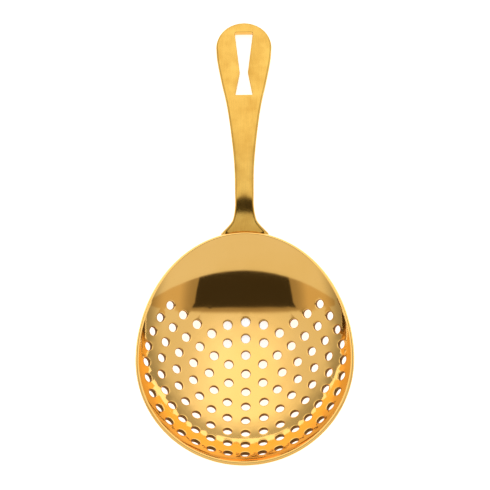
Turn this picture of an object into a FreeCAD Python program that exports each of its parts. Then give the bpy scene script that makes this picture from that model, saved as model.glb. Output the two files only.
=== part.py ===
"""Julep strainer: a perforated egg-shaped bowl, a flat arched handle and the weld that joins them.

The strainer is modelled in the bowl's own frame, with the bowl's lowest point at the origin, its
rim level, the hollow side up and the handle towards +Y. It is then laid down as it lies on a
table, on the underside of the bowl and the tip of the handle, and moved so that the middle of
its bounding box's base is the origin. All sizes are in millimetres.
"""
import FreeCAD, Part
import math
import os

# Bowl: a pressed sheet. Heights are of the middle of the sheet, above the bowl's lowest point.
BOWL_SHEET = 1.5
BOWL_DEPTH = 16.4
RIM_ACROSS = 37.55         # middle of the sheet to the bowl's centre, sideways
RIM_EXTRA_HANDLE = 10.0    # how much further the rim reaches towards the handle
RIM_EXTRA_FAR = 1.6        # and away from it
REACH_POWER = 2.1          # how late, going up the wall, the bowl grows egg-shaped
ROUND_SHARE = 0.78         # share of the depth that is a plain dish; the rest is the steep wall
WALL_POWER = 6
RIM_CHAMFER = 0.4
FIRST_SECTION_RADIUS = 1.1  # the lofted faces start from this small section and run past the rim
SECTIONS_TO_RIM = 10
RIM_CUT_BELOW = 6.0        # depth and height of the cone that cuts the rim square
RIM_CUT_ABOVE = 3.0

# Drain holes: a centre hole and rings about it. Outer rings are open towards the handle.
HOLE_DIAMETER = 3.15
RING_RADII = (6.96, 12.9, 18.7, 24.3, 29.6, 34.5)
HOLES_PER_RING_STEP = 6
FULL_RINGS = 3
OPEN_RING_HALF_ANGLE = 135.0

# Handle: a stamped strip. Its line is that of its upper face, from the rim outwards.
HANDLE_THICKNESS = 2.4
ROOT_SLOPE = 38.0
CREST_SLOPE = 14.5
TIP_SLOPE = -1.4
ROOT_BEND_RADIUS = 36.0
ARCH_RADIUS = 227.5
HANDLE_EDGE_ROUNDING = 0.8
NECK_HALF_WIDTH = 3.35
NECK_FROM_SEAM = 11.8
HEAD_RADIUS = 9.9
ROOT_HALF_WIDTH = 7.4
# Half widths of the strip between neck and head, each with its share of the way
HEAD_SIDE = ((3.55, 0.187), (4.6, 0.393), (6.1, 0.590), (8.0, 0.755), (9.5, 0.908))
# Half widths of the flare at the root, each with its distance from the seam
ROOT_FLARE = ((9.6, -1.8), (ROOT_HALF_WIDTH, 0.0), (5.6, 1.6), (4.2, 3.4), (3.4, 7.3))
BLANK_SPARE = 5.0          # how far the strip's blank runs on under the bowl before it is cut off
TONGUE_LENGTH = 6.5        # the part of the strip that laps under the bowl
TONGUE_DROP_SLOPE = 20.0   # upper side of the tongue's blank, before it is cut to the bowl
TONGUE_UNDER_SLOPE = 35.1  # its lower side
TONGUE_SPARE = 2.0         # extra length of the blank

# Hanging slot, shaped like an hourglass
SLOT_TOP_HALF_WIDTH = 3.27
SLOT_WAIST_HALF_WIDTH = 1.42
SLOT_FOOT_HALF_WIDTH = 3.03
SLOT_TOP_FROM_TIP = 3.9
SLOT_WAIST_FROM_TIP = 19.7
SLOT_FOOT_FROM_TIP = 28.2
SLOT_CORNER_RADIUS = 0.8
SLOT_SLOPE = -0.4          # the strip's slope at the slot's upper end, which the punch is square to
SLOT_PUNCH_LENGTH = 40.0

# Weld bead round the tongue, on the underside of the bowl
BEAD_WIDTH = 1.3
BEAD_HEIGHT = 1.1
BEAD_SHORT_OF_RIM = 0.6

# Search limits for the tilt at which the strainer lies on a table
LEAST_TILT = 5.0
MOST_TILT = 25.0

FAR_AWAY = 200.0
SMALL = 0.01


def vec(x, y, z):
    return FreeCAD.Vector(x, y, z)


# The bowl's shape --------------------------------------------------------------------------

def wall_height(radius):
    """Height of the sheet's middle where the bowl's sideways radius is the one given."""
    share = radius / RIM_ACROSS
    return BOWL_DEPTH * (ROUND_SHARE * share ** 2 + (1 - ROUND_SHARE) * share ** WALL_POWER)


def reach(radius, extra):
    """Distance from the centre at the same height, on a side that reaches further by extra."""
    return radius + extra * (radius / RIM_ACROSS) ** REACH_POWER


def wall_angle(radius, extra):
    """Slope of the wall, in radians, on a side that reaches further by extra."""
    share = radius / RIM_ACROSS
    rise = 2 * ROUND_SHARE * share + WALL_POWER * (1 - ROUND_SHARE) * share ** (WALL_POWER - 1)
    run = 1 + extra * REACH_POWER / RIM_ACROSS * share ** (REACH_POWER - 1)
    return math.atan(BOWL_DEPTH / RIM_ACROSS * rise / run)


def face_point(radius, extra, offset):
    """Reach and height of a face that lies offset outside the sheet's middle."""
    angle = wall_angle(radius, extra)
    out = reach(radius, extra) + offset * math.sin(angle)
    return out, wall_height(radius) - offset * math.cos(angle)


def reach_at(height, extra, offset):
    """Reach of an offset face at a height, by bisection."""
    low, high = 0.0, 1.5 * RIM_ACROSS
    for _ in range(60):
        middle = (low + high) / 2
        if face_point(middle, extra, offset)[1] < height:
            low = middle
        else:
            high = middle
    return face_point(low, extra, offset)[0]


def egg_wire(across, to_handle, to_far, height):
    """Two half ellipses that share their sideways axis."""
    centre = vec(0, 0, height)
    handle_half = Part.Ellipse(vec(0, to_handle, height), vec(across, 0, height), centre)
    far_half = Part.Ellipse(vec(0, -to_far, height), vec(-across, 0, height), centre)
    quarter = math.pi / 2
    edges = [Part.Arc(half, -quarter, quarter).toShape() for half in (handle_half, far_half)]
    return Part.Wire(edges)


def bowl_plug(offset):
    """Solid bounded by the face that lies offset outside the sheet's middle, past the rim."""
    steps = range(1, SECTIONS_TO_RIM + 2)
    radii = [FIRST_SECTION_RADIUS] + [RIM_ACROSS * step / SECTIONS_TO_RIM for step in steps]
    wires = []
    for radius in radii:
        across, height = face_point(radius, 0, offset)
        to_handle = reach_at(height, RIM_EXTRA_HANDLE, offset)
        to_far = reach_at(height, RIM_EXTRA_FAR, offset)
        wires.append(egg_wire(across, to_handle, to_far, height))
    return Part.makeLoft(wires, True, False)


def rim_keeper():
    """Everything inside a cone that meets the sheet squarely all round the rim."""
    wires = []
    for above in (-RIM_CUT_BELOW, RIM_CUT_ABOVE):
        sides = []
        for extra in (0, RIM_EXTRA_HANDLE, RIM_EXTRA_FAR):
            lean = math.tan(wall_angle(RIM_ACROSS, extra))
            sides.append(RIM_ACROSS + extra - above * lean)
        wires.append(egg_wire(sides[0], sides[1], sides[2], BOWL_DEPTH + above))
    cone = Part.makeLoft(wires, True, True)
    below = Part.makeCylinder(FAR_AWAY, FAR_AWAY, vec(0, 0, BOWL_DEPTH - RIM_CUT_BELOW - FAR_AWAY))
    return below.fuse(cone)


def rim_edges(bowl):
    """The long edges that run round the rim."""
    lowest = BOWL_DEPTH - BOWL_SHEET
    return [edge for edge in bowl.Edges if edge.BoundBox.ZMin > lowest and edge.Length > RIM_ACROSS / 2]


def surface_height(x, y):
    """Height of the sheet's middle at a place in plan."""
    extra = RIM_EXTRA_HANDLE if y > 0 else RIM_EXTRA_FAR
    low, high = SMALL ** 3, 1.5 * RIM_ACROSS
    for _ in range(60):
        middle = (low + high) / 2
        if (x / middle) ** 2 + (y / reach(middle, extra)) ** 2 > 1:
            low = middle
        else:
            high = middle
    return wall_height(low)


def drain_hole(x, y):
    """A punch, square to the sheet at a place in plan."""
    slope_x = (surface_height(x + SMALL, y) - surface_height(x - SMALL, y)) / (2 * SMALL)
    slope_y = (surface_height(x, y + SMALL) - surface_height(x, y - SMALL)) / (2 * SMALL)
    normal = vec(-slope_x, -slope_y, 1)
    normal.normalize()
    length = 4 * BOWL_SHEET
    start = vec(x, y, surface_height(x, y)) - normal * (length / 2)
    return Part.makeCylinder(HOLE_DIAMETER / 2, length, start, normal)


def drain_holes():
    """Punches for the centre hole and the rings."""
    punches = [drain_hole(0, 0)]
    for ring, radius in enumerate(RING_RADII, start=1):
        count = HOLES_PER_RING_STEP * ring
        for index in range(count):
            angle = 360.0 * index / count
            from_far = min(angle, 360.0 - angle)
            if ring > FULL_RINGS and from_far > OPEN_RING_HALF_ANGLE + SMALL:
                continue
            turn = math.radians(angle)
            punches.append(drain_hole(radius * math.sin(turn), -radius * math.cos(turn)))
    return punches


def make_bowl(outer):
    """The pressed and punched sheet, with its rim eased on both sides."""
    shell = outer.cut(bowl_plug(-BOWL_SHEET / 2)).common(rim_keeper()).Solids[0]
    shell = shell.makeChamfer(RIM_CHAMFER, rim_edges(shell))
    return shell.cut(Part.makeCompound(drain_holes())).Solids[0]


# The handle's shape ------------------------------------------------------------------------

def rim_corner():
    """Reach and height of the rim's outer corner, on the handle side."""
    return face_point(RIM_ACROSS, RIM_EXTRA_HANDLE, BOWL_SHEET / 2)


def arc_point(start, slope, radius, turned):
    """Where an arc that bends downwards has got to, after turning by an angle in degrees."""
    first = math.radians(slope)
    last = math.radians(slope - turned)
    run = radius * (math.sin(first) - math.sin(last))
    rise = radius * (math.cos(last) - math.cos(first))
    return start[0] + run, start[1] + rise


def handle_line():
    """Points of the strip's upper face: seam, middle of bend, crest, middle of arch and tip."""
    seam = rim_corner()
    bend = ROOT_SLOPE - CREST_SLOPE
    arch = CREST_SLOPE - TIP_SLOPE
    mid_bend = arc_point(seam, ROOT_SLOPE, ROOT_BEND_RADIUS, bend / 2)
    crest = arc_point(seam, ROOT_SLOPE, ROOT_BEND_RADIUS, bend)
    mid_arch = arc_point(crest, CREST_SLOPE, ARCH_RADIUS, arch / 2)
    tip = arc_point(crest, CREST_SLOPE, ARCH_RADIUS, arch)
    return seam, mid_bend, crest, mid_arch, tip


def below_face(point, slope):
    """The point of the strip's lower face that lies square below one on its upper face."""
    lean = math.radians(slope)
    y = point[0] + HANDLE_THICKNESS * math.sin(lean)
    return y, point[1] - HANDLE_THICKNESS * math.cos(lean)


def at(point):
    """A point of the side view, as a place in the YZ plane."""
    return vec(0, point[0], point[1])


def back_down(point, slope, run):
    """Where a slope leads from a point, going back towards the bowl by a run in plan."""
    return point[0] - run, point[1] - run * math.tan(math.radians(slope))


def strip_side_view():
    """The strip seen from the side, as a face that runs on past both of its ends."""
    seam, mid_bend, crest, mid_arch, tip = handle_line()
    lower_seam = below_face(seam, ROOT_SLOPE)
    lower_mid_bend = below_face(mid_bend, (ROOT_SLOPE + CREST_SLOPE) / 2)
    lower_crest = below_face(crest, CREST_SLOPE)
    lower_mid_arch = below_face(mid_arch, (CREST_SLOPE + TIP_SLOPE) / 2)
    lower_tip = below_face(tip, TIP_SLOPE)
    upper_start = back_down(seam, ROOT_SLOPE, BLANK_SPARE)
    lower_start = back_down(lower_seam, ROOT_SLOPE, BLANK_SPARE)
    upper_end = back_down(tip, TIP_SLOPE, -BLANK_SPARE)
    lower_end = back_down(lower_tip, TIP_SLOPE, -BLANK_SPARE)
    edges = [
        Part.makeLine(at(upper_start), at(seam)),
        Part.Arc(at(seam), at(mid_bend), at(crest)).toShape(),
        Part.Arc(at(crest), at(mid_arch), at(tip)).toShape(),
        Part.makeLine(at(tip), at(upper_end)),
        Part.makeLine(at(upper_end), at(lower_end)),
        Part.makeLine(at(lower_end), at(lower_tip)),
        Part.Arc(at(lower_tip), at(lower_mid_arch), at(lower_crest)).toShape(),
        Part.Arc(at(lower_crest), at(lower_mid_bend), at(lower_seam)).toShape(),
        Part.makeLine(at(lower_seam), at(lower_start)),
        Part.makeLine(at(lower_start), at(upper_start)),
    ]
    return Part.Face(Part.Wire(edges))


def tongue_side_view():
    """The tongue seen from the side, as a face that reaches up into the bowl's wall."""
    seam = handle_line()[0]
    length = TONGUE_LENGTH + TONGUE_SPARE
    lower_seam = below_face(seam, ROOT_SLOPE)
    lower_start = back_down(lower_seam, ROOT_SLOPE, lower_seam[0] - seam[0])
    corners = [
        at(seam),
        at(back_down(seam, TONGUE_DROP_SLOPE, length)),
        at(back_down(lower_start, TONGUE_UNDER_SLOPE, length)),
        at(lower_start),
    ]
    return Part.Face(Part.makePolygon(corners + corners[:1]))


def swept_across(face):
    """A side view given more than the handle's full width."""
    solid = face.extrude(vec(4 * HEAD_RADIUS, 0, 0))
    solid.translate(vec(-2 * HEAD_RADIUS, 0, 0))
    return solid


def upright_prism(outline):
    """A plan outline carried far up and down."""
    prism = Part.Face(outline).extrude(vec(0, 0, FAR_AWAY))
    prism.translate(vec(0, 0, -FAR_AWAY / 2))
    return prism


def strip_outline(seam_y, tip_y):
    """The strip seen from above, with its flare carried on under the bowl."""
    head_y = tip_y - HEAD_RADIUS
    neck_y = seam_y + NECK_FROM_SEAM
    flare = [(half_width, seam_y + distance) for half_width, distance in ROOT_FLARE]
    widening = [(half_width, neck_y + share * (head_y - neck_y)) for half_width, share in HEAD_SIDE]
    side = flare + [(NECK_HALF_WIDTH, neck_y)] + widening + [(HEAD_RADIUS, head_y)]
    edges = []
    for sign in (1, -1):
        places = [vec(sign * x, y, 0) for x, y in side]
        start = places[1] - places[0]
        curve = Part.BSplineCurve()
        curve.interpolate(Points=places, InitialTangent=start.normalize(), FinalTangent=vec(0, 1, 0))
        edges.append(curve.toShape())
    left, top, right = vec(-HEAD_RADIUS, head_y, 0), vec(0, tip_y, 0), vec(HEAD_RADIUS, head_y, 0)
    edges.append(Part.Arc(left, top, right).toShape())
    end_x, end_y = side[0]
    edges.append(Part.makeLine(vec(-end_x, end_y, 0), vec(end_x, end_y, 0)))
    return Part.Wire(Part.__sortEdges__(edges))


def tongue_outline(seam_y, grow):
    """The tongue seen from above: a straight side on the seam and a round end."""
    half_width = ROOT_HALF_WIDTH - HANDLE_EDGE_ROUNDING + grow
    left, right = vec(-half_width, seam_y, 0), vec(half_width, seam_y, 0)
    round_end = Part.Arc(left, vec(0, seam_y - TONGUE_LENGTH - grow, 0), right).toShape()
    return Part.Wire([round_end, Part.makeLine(right, left)])


def slot_prism(seam_y, tip_y, top_height):
    """The hourglass hole, cut square to the strip at its upper end."""
    top = tip_y - SLOT_TOP_FROM_TIP
    waist = tip_y - SLOT_WAIST_FROM_TIP
    foot = tip_y - SLOT_FOOT_FROM_TIP
    corners = [
        vec(-SLOT_TOP_HALF_WIDTH, top, 0),
        vec(SLOT_TOP_HALF_WIDTH, top, 0),
        vec(SLOT_WAIST_HALF_WIDTH, waist, 0),
        vec(SLOT_FOOT_HALF_WIDTH, foot, 0),
        vec(-SLOT_FOOT_HALF_WIDTH, foot, 0),
        vec(-SLOT_WAIST_HALF_WIDTH, waist, 0),
    ]
    face = Part.Face(Part.makePolygon(corners + corners[:1]))
    prism = face.extrude(vec(0, 0, SLOT_PUNCH_LENGTH))
    prism.translate(vec(0, 0, -SLOT_PUNCH_LENGTH / 2))
    uprights = [
        edge for edge in prism.Edges
        if abs(edge.BoundBox.YMin - top) < SMALL and edge.BoundBox.ZLength > SLOT_PUNCH_LENGTH / 2
    ]
    prism = prism.makeFillet(SLOT_CORNER_RADIUS, uprights)
    prism.translate(vec(0, -top, 0))
    prism.rotate(vec(0, 0, 0), vec(1, 0, 0), SLOT_SLOPE)
    prism.translate(vec(0, top, top_height))
    return prism


def outline_edges(strip, seam_y):
    """The edges that run along the strip and round its tip, upper and lower."""
    chosen = []
    for edge in strip.Edges:
        box = edge.optimalBoundingBox(False)
        if box.YMax > seam_y + HANDLE_THICKNESS and box.YLength > HANDLE_THICKNESS:
            chosen.append(edge)
    return chosen


def make_handle(outer):
    """The strip, arched, rounded along its edges and slotted, with its tongue laid to the bowl."""
    seam, _, _, _, tip = handle_line()
    blank = swept_across(strip_side_view()).common(upright_prism(strip_outline(seam[0], tip[0])))
    strip = blank.Solids[0]
    strip = strip.makeFillet(HANDLE_EDGE_ROUNDING, outline_edges(strip, seam[0]))
    behind_seam = Part.makeBox(FAR_AWAY, FAR_AWAY, FAR_AWAY)
    behind_seam.translate(vec(-FAR_AWAY / 2, seam[0] - FAR_AWAY, -FAR_AWAY / 2))
    strip = strip.cut(behind_seam).cut(slot_prism(seam[0], tip[0], tip[1]))
    tongue = swept_across(tongue_side_view()).common(upright_prism(tongue_outline(seam[0], 0)))
    return strip.fuse(tongue.cut(outer)).Solids[0]


def make_root_weld(outer, handle):
    """The bead of filler round the tongue, on the outside of the bowl's wall."""
    seam = handle_line()[0]
    band = upright_prism(tongue_outline(seam[0] - BEAD_SHORT_OF_RIM, BEAD_WIDTH))
    layer = bowl_plug(BOWL_SHEET / 2 + BEAD_HEIGHT).cut(outer).common(rim_keeper())
    return layer.common(band).cut(handle)


# Lying on the table ------------------------------------------------------------------------

def laid_down(shape, tilt):
    turned = shape.copy()
    turned.rotate(vec(0, 0, 0), vec(1, 0, 0), -tilt)
    return turned


def rest_tilt(outer, handle):
    """The tilt at which the bowl's underside and the handle's tip are equally low."""
    low, high = LEAST_TILT, MOST_TILT
    for _ in range(18):
        tilt = (low + high) / 2
        bowl_low = laid_down(outer, tilt).optimalBoundingBox(False).ZMin
        tip_low = laid_down(handle, tilt).optimalBoundingBox(False).ZMin
        if tip_low > bowl_low:
            low = tilt
        else:
            high = tilt
    return tilt


def main():
    os.makedirs("parts", exist_ok=True)
    outer = bowl_plug(BOWL_SHEET / 2)
    handle = make_handle(outer)
    parts = {
        "bowl": make_bowl(outer),
        "handle": handle,
        "root_weld": make_root_weld(outer, handle),
    }
    tilt = rest_tilt(outer, handle)
    print("lies with its rim tilted by %.2f degrees" % tilt)
    parts = {name: laid_down(shape, tilt) for name, shape in parts.items()}
    whole = Part.makeCompound(list(parts.values())).optimalBoundingBox(False)
    middle_x = (whole.XMin + whole.XMax) / 2
    middle_y = (whole.YMin + whole.YMax) / 2
    for name, shape in parts.items():
        shape.translate(vec(-middle_x, -middle_y, -whole.ZMin))
        print(name, shape.isValid(), len(shape.Solids), round(shape.Volume, 1))
        shape.exportStep("parts/" + name + ".step")


main()
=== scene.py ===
import math

import bmesh
import bpy
from bpy.props import FloatProperty, FloatVectorProperty, PointerProperty
from bpy.types import Operator, Panel, PropertyGroup
from mathutils import Matrix, Vector


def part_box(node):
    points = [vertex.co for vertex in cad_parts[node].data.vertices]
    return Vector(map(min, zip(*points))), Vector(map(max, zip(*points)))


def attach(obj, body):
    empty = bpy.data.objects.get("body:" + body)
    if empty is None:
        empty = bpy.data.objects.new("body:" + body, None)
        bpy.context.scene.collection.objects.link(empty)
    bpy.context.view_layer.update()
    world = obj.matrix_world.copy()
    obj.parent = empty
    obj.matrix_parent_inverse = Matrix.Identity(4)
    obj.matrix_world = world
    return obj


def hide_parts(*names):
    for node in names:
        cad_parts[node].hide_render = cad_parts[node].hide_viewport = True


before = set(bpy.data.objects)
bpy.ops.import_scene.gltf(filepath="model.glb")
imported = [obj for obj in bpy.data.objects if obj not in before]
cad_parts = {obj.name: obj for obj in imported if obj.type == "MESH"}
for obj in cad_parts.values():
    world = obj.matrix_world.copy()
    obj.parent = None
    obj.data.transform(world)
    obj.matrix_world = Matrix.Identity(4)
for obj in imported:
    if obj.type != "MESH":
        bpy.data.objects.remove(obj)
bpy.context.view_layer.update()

bl_info = {
    "name": "Julep Strainer",
    "version": (1, 0, 0),
    "blender": (4, 5, 0),
    "location": "3D View > Sidebar > Strainer",
    "description": "Models a perforated bar strainer with an arched handle, on a studio table",
    "category": "Object",
}

MM = 0.001

# Bowl: the shape of its wall, which is a plain dish that turns steep near the rim
ROUND_SHARE = 0.78          # share of the depth that is the plain dish
WALL_POWER = 6
REACH_POWER = 2.1           # how late, going up the wall, the bowl grows egg-shaped
BISECTION_STEPS = 44
FOOT_STEPS = 4              # rounds of finding where a point's normal leaves the sheet
SLOPE_STEP = 0.02 * MM      # over which the sheet's slope is taken
REST_STEPS = 400            # places along the underside where its lowest point is looked for

# Bowl: where the drain holes are, and how the sheet round them is divided into faces
RING_RADII = (6.96 * MM, 12.9 * MM, 18.7 * MM, 24.3 * MM, 29.6 * MM, 34.5 * MM)
HOLES_PER_RING_STEP = 6
FULL_RINGS = 3
OPEN_RING_HALF_ANGLE = math.radians(135.5)
CELL_SIDE = 8               # faces along each side of the square cell round a hole
CELL_HALF_HEIGHT = 2.5 * MM
HOLE_GUARD = 0.45 * MM      # width of the first row of faces round a hole
# Plan depth of each ring's cells as a share of their depth on the sheet
BAND_SQUEEZE = (0.99, 0.96, 0.92, 0.88, 0.82, 0.74)
RIM_ROWS = 12
RIM_TURNS = 3
HOLE_LIP_TURNS = 3
# The holes' walls take the second material, whose dark brown colour is painted shade.
PUNCHED = 1                 # material place of the holes' walls

# Handle: the arcs of its side view, with slopes from the rim's plane
ROOT_SLOPE = math.radians(38.0)
CREST_SLOPE = math.radians(14.5)
TIP_SLOPE = math.radians(-1.4)
ROOT_BEND_RADIUS = 36.0 * MM
ARCH_RADIUS = 227.5 * MM
NECK_FROM_SEAM = 11.8 * MM
HEAD_SIDE = ((3.55, 0.187), (4.6, 0.393), (6.1, 0.590), (8.0, 0.755), (9.5, 0.908))
ROOT_FLARE = ((8.2, -0.9), (7.4, 0.0), (5.6, 1.6), (4.2, 3.4), (3.4, 7.3))
EDGE_GUARD = 1.1 * MM       # width of the row of faces along the handle's edge
EDGE_TURNS = 4
SLANT_STEP = 0.2 * MM       # over which the slant of the strip's side is taken
ROW_SPACING = 0.9 * MM
CROWN_START = 8.5 * MM      # the neck is crowned from here on, from the seam
CROWN_RISE = 9.0 * MM
CROWN_END = 16.0 * MM
CROWN_FADE = 34.0 * MM
COLUMNS = 10
SLOT_COLUMNS = 2            # columns each side of the middle that the slot takes away
CAP_CORNER = math.radians(45.0)
CAP_TURNS = 4               # faces from a round end's middle to its corner
TONGUE_ROWS = 7
SLOT_END_ROWS = 6           # rows of the head beside the slot, and past its end
HEAD_END_ROWS = 3
ROOT_FINE_LENGTH = 4 * MM   # the rows are closer together this far from the seam

# Handle: its hanging slot, as (distance from the tip, half width)
SLOT_TOP = (3.9 * MM, 3.27 * MM)
SLOT_WAIST = (19.7 * MM, 1.42 * MM)
SLOT_FOOT = (28.2 * MM, 3.03 * MM)
SLOT_CORNER = 0.7 * MM
SLOT_EASING = 0.14 * MM
SLOT_CORNER_TURNS = 3
SLOT_EASING_TURNS = 2

# Handle: the tongue that laps under the bowl
TONGUE_DEPTH = 5.6 * MM
TONGUE_BLEND = 2.0 * MM
TONGUE_IN_SHEET = 0.15 * MM
TONGUE_END_THICKNESS = 1.0 * MM

# Weld bead
BEAD_SEGMENTS = 14
BEAD_STATIONS = 120
BEAD_RIPPLE = 0.05
BEAD_RIPPLES = 20
BEAD_CLEARANCE = (0.1 * MM, 0.2 * MM)    # of the bead from the tongue, at its sides and end
BEAD_LOOK_AHEAD = 0.01
BEAD_LEAST_TAPER = 0.08
BEAD_TAPER_POWER = 6
BEAD_HALF_ANGLE = math.radians(78.0)

# Meshes: what counts as the same place, and as a sharp edge
NEAR = 0.01 * MM
SHARP = math.radians(60.0)

# Camera: a long lens, its lean and turn from straight above, and what it is aimed at
CAMERA_LEAN = math.radians(-9.70)
CAMERA_SIDE = math.radians(1.28)
CAMERA_ROLL = math.radians(-0.35)
CAMERA_DISTANCE = 1.230
CAMERA_END = 20.0
SENSOR_WIDTH = 36.0
LENS_TO_SENSOR = 50 / 7
AIM_UP = 45.6 * MM
AIM_LEFT = 0.31 * MM

# Table
TABLE_HALF_SIDE = 4.0
TABLE_SQUARES = 8
TABLE_GLOW = 0.72
TABLE_CLOUD = "#F7F7F6"

# Room: the dark screen round the camera, as slopes from the camera's line
CARD_LOW = -0.132
CARD_HIGH = 0.185
CARD_SIDE = 0.717
CARD_OFFSET = 0.037
CARD_WIDENING = 0.19        # how much wider the screen gets with each unit of slope
CARD_FOOT = 0.13            # slope from which its corners flare out
CARD_FLARE = 1.2
CARD_SOFTNESS = 0.010
CARD_SIDE_SOFTNESS = 0.02
SHADE_HIGH = 0.225
SHADE_HUE = "#FFEBC8"
# Room: where each change of brightness lies, and half its width
SHADE_CHANGE = (1.05, 0.30)
SIDE_CHANGE = (0.46, 0.26)
RISE_CHANGE = (0.34, 0.22)
HORIZON_CHANGE = (0.2, 0.2)
FRONT_CHANGE = (0.1, 0.02)
LEAST_AHEAD = 0.05


# Colours and shader nodes ---------------------------------------------------------------------

def linear_colour(hex_text):
    """An sRGB hex colour as linear red, green, blue and alpha."""
    channels = [int(hex_text[i:i + 2], 16) / 255 for i in (1, 3, 5)]
    return [c / 12.92 if c <= 0.04045 else ((c + 0.055) / 1.055) ** 2.4 for c in channels] + [1.0]


def add_node(tree, kind, settings=None, values=None, links=None):
    """Adds a node, sets its properties and inputs, and links inputs to other nodes' outputs."""
    node = tree.nodes.new(kind)
    for name, value in (settings or {}).items():
        setattr(node, name, value)
    for name, value in (values or {}).items():
        node.inputs[name].default_value = value
    for name, output in (links or {}).items():
        tree.links.new(output, node.inputs[name])
    return node


def new_material(name):
    material = bpy.data.materials.new(name)
    material.use_nodes = True
    material.node_tree.nodes.clear()
    return material, material.node_tree


def two_tone(tree, factor, first, second):
    """A colour that runs from one to the other as the factor goes from low to high."""
    ramp = add_node(tree, "ShaderNodeValToRGB", links={"Fac": factor})
    ramp.color_ramp.elements[0].color = first
    ramp.color_ramp.elements[1].color = second
    ramp.color_ramp.elements[0].position = 0.35
    ramp.color_ramp.elements[1].position = 0.65
    return ramp.outputs["Color"]


def soft_step(tree, value, edge, width):
    """0 below an edge and 1 above it, with a soft change."""
    node = add_node(
        tree, "ShaderNodeMapRange", {"interpolation_type": "SMOOTHSTEP"},
        values={"From Min": edge - width, "From Max": edge + width}, links={"Value": value},
    )
    return node.outputs["Result"]


def combine(tree, operation, first, second):
    """One arithmetic step on two outputs or numbers."""
    node = add_node(tree, "ShaderNodeMath", {"operation": operation})
    for socket, value in zip(node.inputs, (first, second)):
        if isinstance(value, float):
            socket.default_value = value
        else:
            tree.links.new(value, socket)
    return node.outputs[0]


def less_than(tree, value, edge, width):
    """1 below an edge and 0 above it, with a soft change."""
    return combine(tree, "SUBTRACT", 1.0, soft_step(tree, value, edge, width))


def blended(tree, share, first, second):
    """An output that runs from a first value to a second as the share goes from 0 to 1."""
    rest = combine(tree, "MULTIPLY", combine(tree, "SUBTRACT", 1.0, share), first)
    return combine(tree, "ADD", rest, combine(tree, "MULTIPLY", share, second))


# Sizes and colours that a user can change -----------------------------------------------------

def length(name, description, default):
    return FloatProperty(name=name, description=description, default=default, unit="LENGTH", precision=5)


def brightness(name, description, default):
    return FloatProperty(name=name, description=description, default=default, min=0.0)


def colour(name, description, hex_text):
    return FloatVectorProperty(
        name=name, description=description, default=linear_colour(hex_text),
        subtype="COLOR", size=4, min=0.0, max=1.0,
    )


class BowlSettings(PropertyGroup):
    sheet: length("Sheet", "Thickness of the pressed sheet", 1.5 * MM)
    depth: length("Depth", "Height of the rim above the bowl's lowest point", 16.4 * MM)
    half_width: length("Half width", "From the middle to the rim, sideways", 37.55 * MM)
    handle_extra: length("Reach to handle", "How much further the rim is on the handle's side", 10.0 * MM)
    far_extra: length("Reach away", "How much further the rim is on the far side", 1.6 * MM)
    hole: length("Hole", "Diameter of a drain hole", 3.15 * MM)
    lip: length("Hole lip", "Rounding of a drain hole's edges", 0.28 * MM)
    rim: length("Rim rounding", "Rounding of the rim's two edges", 0.42 * MM)
    rest_tilt: FloatProperty(
        name="Rest tilt", description="Slope of the rim when the strainer lies on a table",
        default=math.radians(13.62), subtype="ANGLE",
    )


class HandleSettings(PropertyGroup):
    thickness: length("Thickness", "Thickness of the strip", 2.4 * MM)
    neck: length("Neck half width", "Half width of the strip where it is narrowest", 3.35 * MM)
    head: length("Head radius", "Radius of the strip's round tip", 9.9 * MM)
    edge: length("Edge rounding", "Rounding of the strip's edges", 0.8 * MM)
    crown: length("Neck crown", "How much the neck's upper face falls towards its edges", 0.55 * MM)


class WeldSettings(PropertyGroup):
    radius: length("Bead radius", "Radius of the weld bead", 1.05 * MM)


class FinishSettings(PropertyGroup):
    mirror: colour("Mirror gold", "Polished gold plating on the bowl", "#FFCD78")
    mirror_deep: colour("Mirror gold, deep", "Where the bowl's plating is a little thicker", "#FCC86F")
    # Punched gold and its deep tone are painted shade: dark brown for the dark reflections in the holes,
    # laid over the walls' real streaks.
    punched: colour("Punched gold", "Gold plating on the walls of the drain holes", "#8A5E2C")
    punched_painted_shade_deep: colour("Punched gold, deep", "In the streaks of those walls", "#6B431B")
    satin: colour("Satin gold", "Brushed gold plating on the handle", "#ECBE5F")
    satin_deep: colour("Satin gold, deep", "Along the handle's brush marks", "#D5A349")
    weld: colour("Weld gold", "Gold plating over the weld", "#EFBE70")
    weld_deep: colour("Weld gold, deep", "In the weld's hollows", "#C98F42")


class StageSettings(PropertyGroup):
    floor: colour("Floor", "The table that the strainer lies on", "#FAFAF9")
    above: brightness("Main light", "Brightness of the soft light over the handle", 1.28)
    above_sides: brightness("Main light's sides", "Brightness of that light at both sides", 0.80)
    below: brightness("Second light", "Brightness of the soft light over the bowl", 0.80)
    horizon: brightness("Horizon", "Share of the light that is left low down", 0.45)
    shade: brightness("Shade", "Brightness close beside the screen", 0.36)
    shade_edge: brightness("Shade's edge", "Brightness farther beside the screen", 0.66)
    card: brightness("Dark screen", "Brightness of the screen round the camera", 0.045)


# The bowl's surface ---------------------------------------------------------------------------

def wall_height(bowl, radius):
    """Height of the sheet's middle where the bowl's sideways radius is the one given."""
    share = radius / bowl.half_width
    return bowl.depth * (ROUND_SHARE * share ** 2 + (1 - ROUND_SHARE) * share ** WALL_POWER)


def reach(bowl, radius, extra):
    """Distance from the middle at the same height, on a side that reaches further by extra."""
    return radius + extra * (radius / bowl.half_width) ** REACH_POWER


def sheet_height(bowl, x, y):
    """Height of the sheet's middle at a place in plan, by bisection over its level curves."""
    extra = bowl.handle_extra if y > 0 else bowl.far_extra
    low, high = 1e-9, 1.6 * bowl.half_width
    for _ in range(BISECTION_STEPS):
        middle = (low + high) / 2
        if (x / middle) ** 2 + (y / reach(bowl, middle, extra)) ** 2 > 1:
            low = middle
        else:
            high = middle
    return wall_height(bowl, low)


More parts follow.
